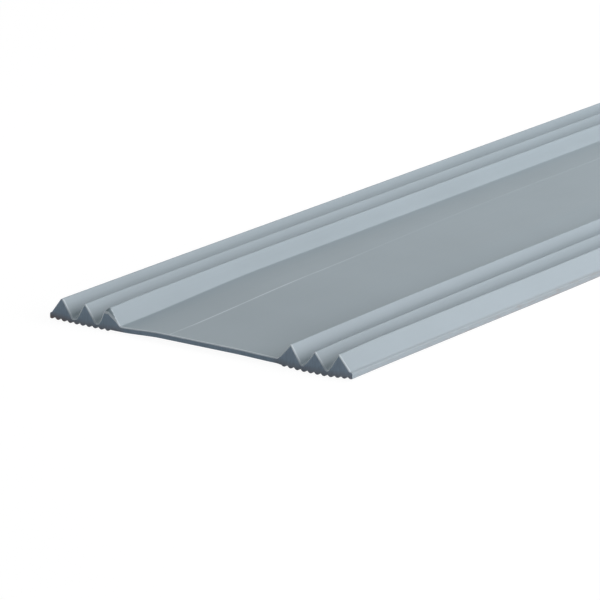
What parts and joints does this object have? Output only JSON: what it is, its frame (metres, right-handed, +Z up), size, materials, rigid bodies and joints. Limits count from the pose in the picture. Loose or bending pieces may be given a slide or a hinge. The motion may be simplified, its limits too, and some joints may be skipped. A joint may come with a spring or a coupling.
{
  "type": "threshold strip",
  "caption": "Flexible vinyl door threshold strip: a thin level web between two ridged rails with toothed undersides, laid on the floor to seal under a door.",
  "frame": {"origin": "middle of the strip's length and width, on the floor under its teeth", "axes": "+X along the strip, +Y across it towards the rail nearer the fold line, +Z up from the floor"},
  "size_m": [0.9144, 0.1, 0.007],
  "materials": {
    "grey_vinyl": "satin"
  },
  "bodies": {
    "front_web": {"front_web": "grey_vinyl"},
    "rear_web": {"rear_web": "grey_vinyl"},
    "rear_inner_ridge": {"rear_inner_ridge": "grey_vinyl"},
    "rear_middle_ridge": {"rear_middle_ridge": "grey_vinyl"},
    "rear_outer_ridge": {"rear_outer_ridge": "grey_vinyl"},
    "front_inner_ridge": {"front_inner_ridge": "grey_vinyl"},
    "front_middle_ridge": {"front_middle_ridge": "grey_vinyl"},
    "front_outer_ridge": {"front_outer_ridge": "grey_vinyl"}
  },
  "joints": [
    {"name": "fold_line", "type": "hinge", "parent": "front_web", "child": "rear_web", "pos_m": [0, 0.0115, 0.00273], "axis": [1, 0, 0], "range_deg": [-15, 120], "stiffness_Nm_per_rad": 0.2},
    {"name": "rear_root", "type": "hinge", "parent": "rear_web", "child": "rear_inner_ridge", "pos_m": [0, 0.026, 0.00143], "axis": [1, 0, 0], "range_deg": [-20, 45], "stiffness_Nm_per_rad": 0.15},
    {"name": "rear_inner_valley", "type": "hinge", "parent": "rear_inner_ridge", "child": "rear_middle_ridge", "pos_m": [0, 0.034, 0.00125], "axis": [1, 0, 0], "range_deg": [-12, 30], "stiffness_Nm_per_rad": 0.03},
    {"name": "rear_outer_valley", "type": "hinge", "parent": "rear_middle_ridge", "child": "rear_outer_ridge", "pos_m": [0, 0.042, 0.00125], "axis": [1, 0, 0], "range_deg": [-12, 30], "stiffness_Nm_per_rad": 0.03},
    {"name": "front_root", "type": "hinge", "parent": "front_web", "child": "front_inner_ridge", "pos_m": [0, -0.026, 0.00143], "axis": [-1, 0, 0], "range_deg": [-20, 45], "stiffness_Nm_per_rad": 0.15},
    {"name": "front_inner_valley", "type": "hinge", "parent": "front_inner_ridge", "child": "front_middle_ridge", "pos_m": [0, -0.034, 0.00125], "axis": [-1, 0, 0], "range_deg": [-12, 30], "stiffness_Nm_per_rad": 0.03},
    {"name": "front_outer_valley", "type": "hinge", "parent": "front_middle_ridge", "child": "front_outer_ridge", "pos_m": [0, -0.042, 0.00125], "axis": [-1, 0, 0], "range_deg": [-12, 30], "stiffness_Nm_per_rad": 0.03}
  ]
}
